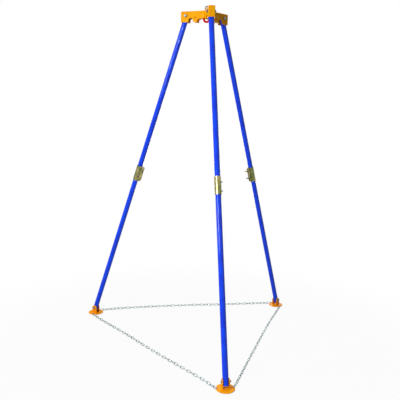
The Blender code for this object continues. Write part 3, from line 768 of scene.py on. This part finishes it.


# Clamp sleeves. A 4 mm plate wrapped round the joint of the two tubes, its ends turned out as
# flanges on the leg's inner side and drawn together by two M12 bolts. Zinc plated with a yellow
# chromate that shades from straw to green, in upright olive streaks that are partly painted
# reflection of dark surroundings.

SLEEVE_HALF = 0.075
SLEEVE_WALL = 0.004
SLEEVE_MID = TUBE_RADIUS + SEAT_GAP + SLEEVE_WALL / 2
FLANGE_MID = 0.005  # from the slot's middle to the flange's
FLANGE_END = -0.051
TOP_CORNER = 0.0055
FOOT_CORNER = 0.022
SLEEVE_HOLE_RADIUS = 0.0064
SLEEVE_BOLT_AT = -0.039
SLEEVE_BOLT_ROWS = {"upper": 0.038, "lower": -0.038}
SLEEVE_SEAT = FLANGE_MID + SLEEVE_WALL / 2 + SEAT_GAP
SLEEVE_REACH = 0.048  # from the slot's middle to a bolt's end
SLEEVE_NUT = 0.010
M12 = {"diameter": 0.012, "pitch": 0.00175}
SLEEVE_BOLT = {
    **M12, "flats": 0.018, "head": 0.008, "smooth": 0.012, "length": SLEEVE_REACH + SLEEVE_SEAT,
}

STRAW = (0.36, 0.30, 0.14, 1.0)
# olive: the film's own tint, and in the sleeves' upright streaks a painted dark reflection
OLIVE = (0.13, 0.15, 0.05, 1.0)
GREEN_GOLD = (0.23, 0.27, 0.09, 1.0)


def chromate():
    """Yellow chromate over zinc: a metal whose thin film drifts between straw, olive and
    green-gold. The olive drift runs in upright streaks, which are partly painted dark reflection."""
    finish = Finish("zinc_yellow", Metallic=1.0)
    # upright streaks: partly the film's own drift, partly painted reflection of dark surroundings
    drift_and_reflection_streaks = finish.noise(scale=26.0, detail=3.0, stretch=(1.0, 1.0, 0.35))
    film = finish.noise(scale=85.0, detail=4.0, roughness=0.6)
    colour = finish.mix(STRAW, OLIVE, finish.between(drift_and_reflection_streaks, low=0.40, high=0.60))
    gold = 0.6 * finish.between(film, low=0.45, high=0.75)
    finish.surface(
        Base_Color=finish.mix(colour, GREEN_GOLD, gold),
        Roughness=0.17 + 0.18 * film,
        Normal=finish.bump(film, distance=0.0004, strength=0.12),
    )
    return finish


zinc_yellow = chromate()


def sleeve_mesh():
    """The sleeve's middle surface: its plan path from one flange's edge round the tube to the
    other's, carried down its height, which the flanges' round corners shorten near their edges."""
    join = math.pi - math.asin(FLANGE_MID / SLEEVE_MID)
    wrap = np.linspace(join, -join, 73)
    round_part = np.stack((SLEEVE_MID * np.cos(wrap), SLEEVE_MID * np.sin(wrap)), -1)
    edge = FLANGE_END + FOOT_CORNER * (1 - np.cos(np.linspace(0, math.pi / 2, 12)))
    rest = np.linspace(edge[-1], round_part[0, 0], 5)[1:-1]
    flange_x = np.append(edge, rest)
    near = np.stack((flange_x, np.full_like(flange_x, FLANGE_MID)), -1)
    path = np.concatenate([near, round_part, near[::-1] * (1, -1)])
    gone = np.clip(FLANGE_END + FOOT_CORNER - path[:, 0], 0, FOOT_CORNER)
    low = -SLEEVE_HALF + FOOT_CORNER - np.sqrt(FOOT_CORNER**2 - gone**2)
    gone = np.clip(FLANGE_END + TOP_CORNER - path[:, 0], 0, TOP_CORNER)
    high = SLEEVE_HALF - TOP_CORNER + np.sqrt(TOP_CORNER**2 - gone**2)
    height = high + (low - high) * np.linspace(0, 1, 16)[:, None]
    plan = np.broadcast_to(path, (*height.shape, 2))
    return mesh_of("sleeve", [np.concatenate([plan, height[..., None]], axis=-1)])


for leg in leg_names:
    place = leg_frames[leg] @ Matrix.Translation((0, 0, JOINT_AT))
    body = "leg_" + leg
    rows = {
        row: Matrix.Translation((SLEEVE_BOLT_AT, 0, z)) for row, z in SLEEVE_BOLT_ROWS.items()
    }
    holes = [cutter(SLEEVE_HOLE_RADIUS, reach=0.03, place=across) for across in rows.values()]
    sleeve = shaped(sleeve_mesh(), SLEEVE_WALL, holes, edge=0.0005)
    piece("sleeve_" + leg, sleeve, place, zinc_yellow, body, "joint_sleeve_" + leg, sharp=40)
    for row, across in rows.items():
        names = f"clamp_{{}}_{row}_{leg}", f"sleeve_{{}}_{row}_{leg}"
        bolt_and_nut(
            *names, SLEEVE_BOLT, SLEEVE_NUT, place @ across, SLEEVE_SEAT, zinc_yellow, body
        )


# Feet. A U bracket folded from 5 mm plate with two round-topped ears, welded to a flat round plate
# and painted the head's yellow, more orange where it is thick. A bolt through the ears carries the
# leg, and a rubber pad under the plate grips the floor.

ORANGE = (1.0, 0.40, 0.0, 1.0)
ORANGE_DEEP = (0.95, 0.32, 0.0, 1.0)
ORANGE_WORN = (0.70, 0.34, 0.08, 1.0)
orange_paint = paint("orange_paint", ORANGE, ORANGE_DEEP, ORANGE_WORN, rough=0.34, coat=0.12)
BRACKET_WALL = 0.005
BRACKET_FOLD = 0.0045  # middle radius of its folds
EAR_INSIDE = 0.025
EAR_MID = EAR_INSIDE + BRACKET_WALL / 2
EAR_RADIUS = 0.0245
PLATE_TOP = -0.055
PLATE_RADIUS = 0.075
PLATE_THICK = 0.005
PLATE_FOOT = PLATE_TOP - PLATE_THICK
BRACKET_FLOOR = PLATE_TOP + SEAT_GAP + BRACKET_WALL / 2
CHAIN_HOLE_RADIUS = 0.005
CHAIN_HOLE_AT = 0.065
PAD_RADIUS = 0.058
PAD_GAP = 0.0001  # under the plate
PAD_TOP = PLATE_FOOT - PAD_GAP
PAD_CHAMFER = 0.002
GROOVE_DEPTH = 0.0012  # round the pad's rim
GROOVE_HALF = 0.0008
GROOVE_HEIGHT = 0.0042  # over the floor
FOOT_HOLE_RADIUS = 0.0064
FOOT_SEAT = EAR_MID + BRACKET_WALL / 2 + SEAT_GAP
FOOT_REACH = 0.013  # of the bolt past the far ear
FOOT_NUT = 0.010
FOOT_BOLT = {
    **M12, "flats": 0.019, "head": 0.0075, "smooth": 2 * FOOT_SEAT,
    "length": 2 * FOOT_SEAT + FOOT_REACH,
}
FOOT_BEAD_HALF = EAR_RADIUS - 0.002  # of its length
FOOT_BEAD_OUT = EAR_MID + 0.0010
FOOT_BEAD_RISE = 0.0006
floor_z = -pins["foot_tilt_front"].z
groove_z = floor_z + GROOVE_HEIGHT
foot_frames = {
    leg: frame_at(pins["foot_tilt_" + leg], pin_lines["foot_tilt_" + leg], upright)
    for leg in leg_names
}


def bracket_mesh():
    """The bracket's middle surface: its section from one ear's top down, across and up to the
    other's, carried across its width, which the ears' round tops narrow."""
    top = EAR_RADIUS * np.sin(np.linspace(math.pi / 2, 0, 14))
    straight = np.linspace(0, BRACKET_FLOOR + BRACKET_FOLD, 7)[1:]
    drop = np.append(top, straight)
    fold = np.linspace(0, math.pi / 2, 7)[1:]
    fold_y = EAR_MID - BRACKET_FOLD * (1 - np.cos(fold))
    fold_z = BRACKET_FLOOR + BRACKET_FOLD * (1 - np.sin(fold))
    half_y = np.concatenate([np.full_like(drop, EAR_MID), fold_y])
    half_z = np.concatenate([drop, fold_z])
    floor_y = np.linspace(half_y[-1], -half_y[-1], 9)[1:-1]
    y = np.concatenate([half_y, floor_y, -half_y[::-1]])
    z = np.concatenate([half_z, np.full_like(floor_y, BRACKET_FLOOR), half_z[::-1]])
    wide = np.sqrt(np.maximum(EAR_RADIUS**2 - np.clip(z, 0, EAR_RADIUS) ** 2, 0))
    share = np.linspace(-1, 1, 15)
    grid = np.stack((wide[:, None] * share, y[:, None] + 0 * share, z[:, None] + 0 * share), -1)
    return mesh_of("bracket", [grid])


plate_profile = rounded(
    [(0, PLATE_TOP), (PLATE_RADIUS, PLATE_TOP), (PLATE_RADIUS, PLATE_FOOT), (0, PLATE_FOOT)],
    radius=0.0012,
)
pad_profile = rounded(
    [
        (0, PAD_TOP), (PAD_RADIUS, PAD_TOP), (PAD_RADIUS, groove_z + GROOVE_HALF),
        (PAD_RADIUS - GROOVE_DEPTH, groove_z), (PAD_RADIUS, groove_z - GROOVE_HALF),
        (PAD_RADIUS, floor_z + PAD_CHAMFER), (PAD_RADIUS - PAD_CHAMFER, floor_z), (0, floor_z),
    ],
    radius=0.0006,
)

RUBBER = (0.020, 0.020, 0.021, 1.0)
RUBBER_DUST = (0.075, 0.070, 0.062, 1.0)


def dusty_rubber():
    """Black rubber with a fine grained skin, greyed where floor dust lies on it."""
    finish = Finish("rubber", Specular_IOR_Level=0.35)
    dust = finish.noise(scale=55.0, detail=5.0)
    grain = finish.noise(scale=700.0, detail=2.0)
    finish.surface(
        Base_Color=finish.mix(RUBBER, RUBBER_DUST, finish.between(dust, low=0.45, high=0.8)),
        Roughness=0.62 + 0.25 * dust,
        Normal=finish.bump(grain, distance=0.0003, strength=0.3),
    )
    return finish


rubber = dusty_rubber()

for leg in leg_names:
    place = foot_frames[leg]
    body = "foot_" + leg
    pin_hole = cutter(FOOT_HOLE_RADIUS, reach=0.06, place=Matrix.Identity(4))
    bracket = shaped(bracket_mesh(), BRACKET_WALL, [pin_hole])
    piece("bracket_" + leg, bracket, place, orange_paint, body, "foot_bracket_" + leg)
    holes = []
    for side in (-CHAIN_HOLE_AT, CHAIN_HOLE_AT):
        down = Matrix.Translation((0, side, PLATE_TOP)) @ ALONG_Z
        holes.append(cutter(CHAIN_HOLE_RADIUS, reach=0.02, place=down))
    plate = shaped(mesh_of("plate", [ring_of(plate_profile, 96)]), holes=holes, edge=0.0004)
    piece("plate_" + leg, plate, place, orange_paint, body, "foot_plate_" + leg)
    pad = mesh_of("pad", [ring_of(pad_profile, 96)])
    piece("pad_" + leg, pad, place, rubber, body, "foot_pad_" + leg)
    names = "ankle_{}_" + leg, "foot_{}_" + leg
    bolt_and_nut(*names, FOOT_BOLT, FOOT_NUT, place, FOOT_SEAT, zinc_plated, body)
    for name, side in (("near", -1), ("far", 1)):
        run = np.linspace(-FOOT_BEAD_HALF, FOOT_BEAD_HALF, 44)
        out = side * FOOT_BEAD_OUT
        line = np.stack((run, 0 * run + out, 0 * run + PLATE_TOP + FOOT_BEAD_RISE), -1)
        bead = bead_mesh(line, radius=0.0020, ripple=0.00025)
        piece(f"foot_weld_{leg}_{name}", bead, place, orange_paint, body, sharp=70)


# Chains. Long-link chain of 6 mm galvanised wire, 42 mm pitch, one length from foot to foot. Its
# end links stand in the plates' holes. From there it twists until its links lean 45 degrees each
# way in turn, as a slack chain's do on a floor.

GALVANISED = (0.38, 0.45, 0.45, 1.0)
GALVANISED_DARK = (0.17, 0.21, 0.22, 1.0)
galvanised = plated("galvanised", GALVANISED, GALVANISED_DARK, rough=0.34, scale=90.0)

WIRE = 0.003  # its radius
PITCH = 0.042
LINK_WIDTH = 0.024
LINK_BEND = LINK_WIDTH / 2 - WIRE
LINK_SPAN = PITCH + 2 * WIRE  # between its end wires' middles
CHAIN_HEIGHT = LINK_WIDTH / 2 + SEAT_GAP
END_LINK = PITCH + 3 * WIRE + SEAT_GAP  # from a plate's hole to the free chain
FOOT_LINKS = 7  # in the first and the last part
TURN_LINKS = 5  # of those next to a foot, whose ends are looked up along the line
TWIST_LINKS = 5  # from a foot until the links lean fully
LEAN = math.radians(45)
LEAN_SPREAD = math.radians(7)
LOW_LINK = 0.0095  # height of a flat link, held up by its neighbours
LINK_RISE = 0.0004  # off the floor

# Each stretch's name, the foot where it starts at the +Y hole and the one where it ends at the -Y
# hole, with its route over the floor between them, from the stand's axis
CHAIN_ROUTES = {
    ("left", "left", "front"): [
        (-0.929, 0.342), (-0.692, -0.053), (-0.502, -0.393), (-0.312, -0.710), (-0.151, -0.975),
    ],
    ("right", "front", "right"): [
        (0.130, -1.034), (0.260, -0.798), (0.411, -0.527), (0.582, -0.222), (0.782, 0.125),
        (0.941, 0.379),
    ],
    ("back", "right", "left"): [
        (0.820, 0.638), (0.530, 0.648), (0.330, 0.652), (0.110, 0.668), (-0.180, 0.674),
        (-0.420, 0.670), (-0.640, 0.667), (-0.850, 0.643),
    ],
}


def smooth_line(points):
    """A smooth curve through the points, each span a cubic whose ends take their neighbours'
    direction."""
    points = np.array(points, float)
    before = np.concatenate([points[:1], points[:-2]])[:, None]
    start = points[:-1, None]
    end = points[1:, None]
    after = np.concatenate([points[2:], points[-1:]])[:, None]
    share = np.linspace(0, 1, 20, endpoint=False)[None, :, None]
    line = (
        2 * start
        + (end - before) * share
        + (2 * before - 5 * start + 4 * end - after) * share**2
        + (3 * start - before - 3 * end + after) * share**3
    ) / 2
    return np.concatenate([line.reshape(-1, 3), points[-1:]])


def chain_line(start_leg, end_leg, route):
    """A stretch's middle line from hole to hole: straight along each end link, and a smooth curve
    through the route's points between them."""
    floor_points = np.array([(x, y + axis_y, CHAIN_HEIGHT) for x, y in route])
    holes = []
    free_ends = []
    for leg, side, beyond in ((start_leg, 1, floor_points[0]), (end_leg, -1, floor_points[-1])):
        hole = np.array(foot_frames[leg] @ Vector((0, side * CHAIN_HOLE_AT, 0)))
        hole[2] = CHAIN_HEIGHT
        away = (beyond - hole) / np.linalg.norm(beyond - hole)
        holes.append(hole)
        free_ends.append(hole + away * END_LINK)
    free = smooth_line([free_ends[0], *floor_points, free_ends[1]])
    return np.concatenate([holes[:1], free, holes[1:]])


def lay_links(length, seed):
    """Where each free link starts along the line, how far it is rolled and how high it lies.

    The count is odd, so that both end links meet a flat one, and all share out the slack. The roll
    is a quarter turn for every second link, less the twist, with a little chance.
    """
    spare = length - 2 * PITCH - LINK_SPAN
    count = math.ceil(spare / PITCH) + 1
    count += 1 - count % 2
    order = np.arange(count)
    starts = PITCH + spare / (count - 1) * order
    from_foot = np.minimum(order + 1, order[::-1] + 1)
    twist = LEAN * np.clip(from_foot / TWIST_LINKS, 0, 1)
    chance = np.random.default_rng(seed).normal(0, LEAN_SPREAD, count)
    rolls = np.where(order % 2, math.pi / 2, 0) - twist + chance
    heights = np.maximum(LOW_LINK, LINK_BEND * np.abs(np.sin(rolls)) + WIRE + LINK_RISE)
    return starts, rolls, heights


def link_grid(near, far, roll):
    """A link of round wire between two points: a closed path of two half rounds, turned about its
    length by the roll, with a round section square to it."""
    bends = np.linspace(math.pi / 2, 3 * math.pi / 2, 6)
    end = np.stack((LINK_BEND * np.cos(bends), LINK_BEND * np.sin(bends)), -1)
    oval = np.concatenate([end + (LINK_BEND, 0), -end + (LINK_SPAN - LINK_BEND, 0)])
    out = np.concatenate([end, -end]) / LINK_BEND
    oval = np.concatenate([oval, oval[:1]])
    out = np.concatenate([out, out[:1]])
    forward = far - near
    forward /= np.linalg.norm(forward)
    level = np.cross((0, 0, 1), forward)
    level /= np.linalg.norm(level)
    above = np.cross(forward, level)
    side = level * math.cos(roll) + above * math.sin(roll)
    square = np.cross(forward, side)
    middle = near + oval[:, :1] * forward + oval[:, 1:] * side
    outward = out[:, :1] * forward + out[:, 1:] * side
    angle = np.linspace(0, math.tau, 7)[None, :, None]
    return middle[:, None] + WIRE * (np.cos(angle) * outward[:, None] + np.sin(angle) * square)


def points_at(distance, run, line):
    """The points of a line at these distances along it."""
    return np.stack([np.interp(distance, run, line[:, k]) for k in range(3)], -1)


# Each stretch is made as four parts: from foot to leg, on to the head, to the other leg and to
# its foot
for (name, start_leg, end_leg), route in CHAIN_ROUTES.items():
    line = chain_line(start_leg, end_leg, route)
    run = run_along(line)
    starts, rolls, heights = lay_links(run[-1], seed=len(name))
    ends = starts + LINK_SPAN
    count = len(starts)
    first = 0
    for index, last in enumerate((FOOT_LINKS, count // 2, count - FOOT_LINKS, count)):
        grids = []
        for k in range(first, last):
            lower = np.array((0, 0, CHAIN_HEIGHT - heights[k]))
            near, far = points_at((starts[k], ends[k]), run, line) - lower
            grids.append(link_grid(near, far, rolls[k]))
        mesh = mesh_of("links", grids)
        mesh.materials.append(galvanised.material)
        mesh.shade_smooth()
        links = new_object(f"chain_{name}_part_{index + 1}", mesh)
        turn_first = last - TURN_LINKS if index == 3 else first
        turn_last = first + TURN_LINKS if index == 0 else last
        turn_start, turn_end = points_at((starts[turn_first], ends[turn_last - 1]), run, line)
        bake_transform(links)
        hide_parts("chain_" + name)
        path = points_at(np.linspace(starts[first] - WIRE, ends[last - 1] + WIRE, 40), run, line)
        length = ends[last - 1] - starts[first] + 2 * WIRE
        first = last

for name in frame["nodes"]:
    if name.startswith("chain_end_"):
        dress(name, galvanised)


# Studio. A white floor and surround, which the camera and reflections see as white, soft lamps, and
# a camera where the photograph was taken from.

WHITE = (1.0, 1.0, 1.0, 1.0)
FLOOR_GREY = (0.45, 0.45, 0.45, 1.0)
FLOOR_HALF = 9.0
SHADE_FILL = 0.09  # what the surround gives to surfaces that don't mirror it

floor_sides = -FLOOR_HALF, FLOOR_HALF
floor_x, floor_y = np.meshgrid(floor_sides, floor_sides)
floor_mesh = mesh_of("floor", [np.stack((floor_x, floor_y, 0 * floor_x), -1)])
new_object("floor", floor_mesh)


def seen_directly(nodes):
    """1 for camera, glossy and transmission rays."""
    rays = [
        nodes.node("ShaderNodeLightPath", output=f"Is {kind} Ray")
        for kind in ("Camera", "Glossy", "Transmission")
    ]
    return rays[0].maths("MAXIMUM", rays[0].maths("MAXIMUM", rays[0], rays[1]), rays[2])


# The floor glows white where it is seen. Near the stand it keeps a share of real floor, for the
# shadows.
paper = bpy.data.materials.new("white_floor")
paper.use_nodes = True
paper.node_tree.nodes.clear()
nodes = Nodes(paper.node_tree)
place = nodes.node("ShaderNodeTexCoord", output="Object")
distance = nodes.node("ShaderNodeVectorMath", {"operation": "LENGTH"}, {0: place}, "Value")
glow_range = {"Value": distance, "From Min": 1.5, "From Max": 3.0, "To Min": 0.95, "To Max": 1.0}
glow_share = nodes.node("ShaderNodeMapRange", {"interpolation_type": "SMOOTHSTEP"}, glow_range)
diffuse = nodes.node("ShaderNodeBsdfDiffuse", values={"Color": FLOOR_GREY})
glow = nodes.node("ShaderNodeEmission", values={"Color": WHITE})
shown = {0: seen_directly(nodes) * glow_share, 1: diffuse, 2: glow}
blend = nodes.node("ShaderNodeMixShader", values=shown)
nodes.node("ShaderNodeOutputMaterial", values={"Surface": blend})
floor_mesh.materials.append(paper)

world = bpy.data.worlds.new("studio")
world.use_nodes = True
bpy.context.scene.world = world
world.node_tree.nodes.clear()
nodes = Nodes(world.node_tree)
fill = nodes.node("ShaderNodeBackground", values={"Color": WHITE, "Strength": SHADE_FILL})
surround = nodes.node("ShaderNodeBackground", values={"Color": WHITE, "Strength": 1.0})
blend = nodes.node("ShaderNodeMixShader", values={0: seen_directly(nodes), 1: fill, 2: surround})
nodes.node("ShaderNodeOutputWorld", values={"Surface": blend})


def lamp(name, place, aim, size, power):
    """A soft rectangular lamp turned to where it aims."""
    data = bpy.data.lights.new(name, "AREA")
    data.shape = "RECTANGLE"
    data.size, data.size_y = size
    data.energy = power
    obj = new_object(name, data)
    obj.location = place
    obj.rotation_euler = (Vector(aim) - Vector(place)).to_track_quat("-Z", "Y").to_euler()


# The key lamp stands left of the camera and draws the tubes' long highlights. A weak one to the
# camera's right lifts the shade, one behind the stand edges it, and a broad sun lights the tops
lamp("key", place=(-4.0, -3.6, 3.1), aim=(0, 0.2, 1.7), size=(1.8, 1.4), power=240)
lamp("front", place=(1.8, -5.0, 2.8), aim=(0, 0.3, 1.6), size=(2.0, 2.0), power=12)
lamp("back", place=(1.3, 4.9, 1.3), aim=(0, 0.3, 1.5), size=(2.4, 1.8), power=70)
sky = bpy.data.lights.new("overhead", "SUN")
sky.energy = 1.5
sky.angle = math.radians(70)
overhead = new_object("overhead", sky)
overhead.rotation_euler = (math.radians(-12), math.radians(-14), 0)

# The camera, fitted to the stand's leg axes, feet and head
CAMERA_AZIMUTH = math.radians(-11.0216)
CAMERA_HEIGHT = 1.9974
CAMERA_DISTANCE = 4.7404
AIM_HEIGHT = 1.291
AIM_SHIFT = -0.0159
CAMERA_ROLL = 0.0264
FOCAL_PIXELS = 506.99
PHOTO_WIDTH = 400
SENSOR_WIDTH = 36

stand = Vector((0, axis_y, 0))
away = Vector((math.sin(CAMERA_AZIMUTH), -math.cos(CAMERA_AZIMUTH), 0))
level = Vector((math.cos(CAMERA_AZIMUTH), math.sin(CAMERA_AZIMUTH), 0))
eye_point = stand + away * CAMERA_DISTANCE + upright * CAMERA_HEIGHT
aim_point = stand + upright * AIM_HEIGHT + level * AIM_SHIFT
forward = (aim_point - eye_point).normalized()
right = forward.cross(upright).normalized()
above = right.cross(forward)
turned_right = math.cos(CAMERA_ROLL) * right + math.sin(CAMERA_ROLL) * above
turned_above = math.cos(CAMERA_ROLL) * above - math.sin(CAMERA_ROLL) * right
camera_data = bpy.data.cameras.new("camera")
camera_data.sensor_width = SENSOR_WIDTH
camera_data.lens = SENSOR_WIDTH * FOCAL_PIXELS / PHOTO_WIDTH
camera_data.clip_end = 60
camera = new_object("camera", camera_data)
turn_matrix = Matrix((turned_right, turned_above, -forward)).transposed().to_4x4()
camera.matrix_world = Matrix.Translation(eye_point) @ turn_matrix
bpy.context.scene.camera = camera
bpy.context.scene.view_settings.view_transform = "Standard"
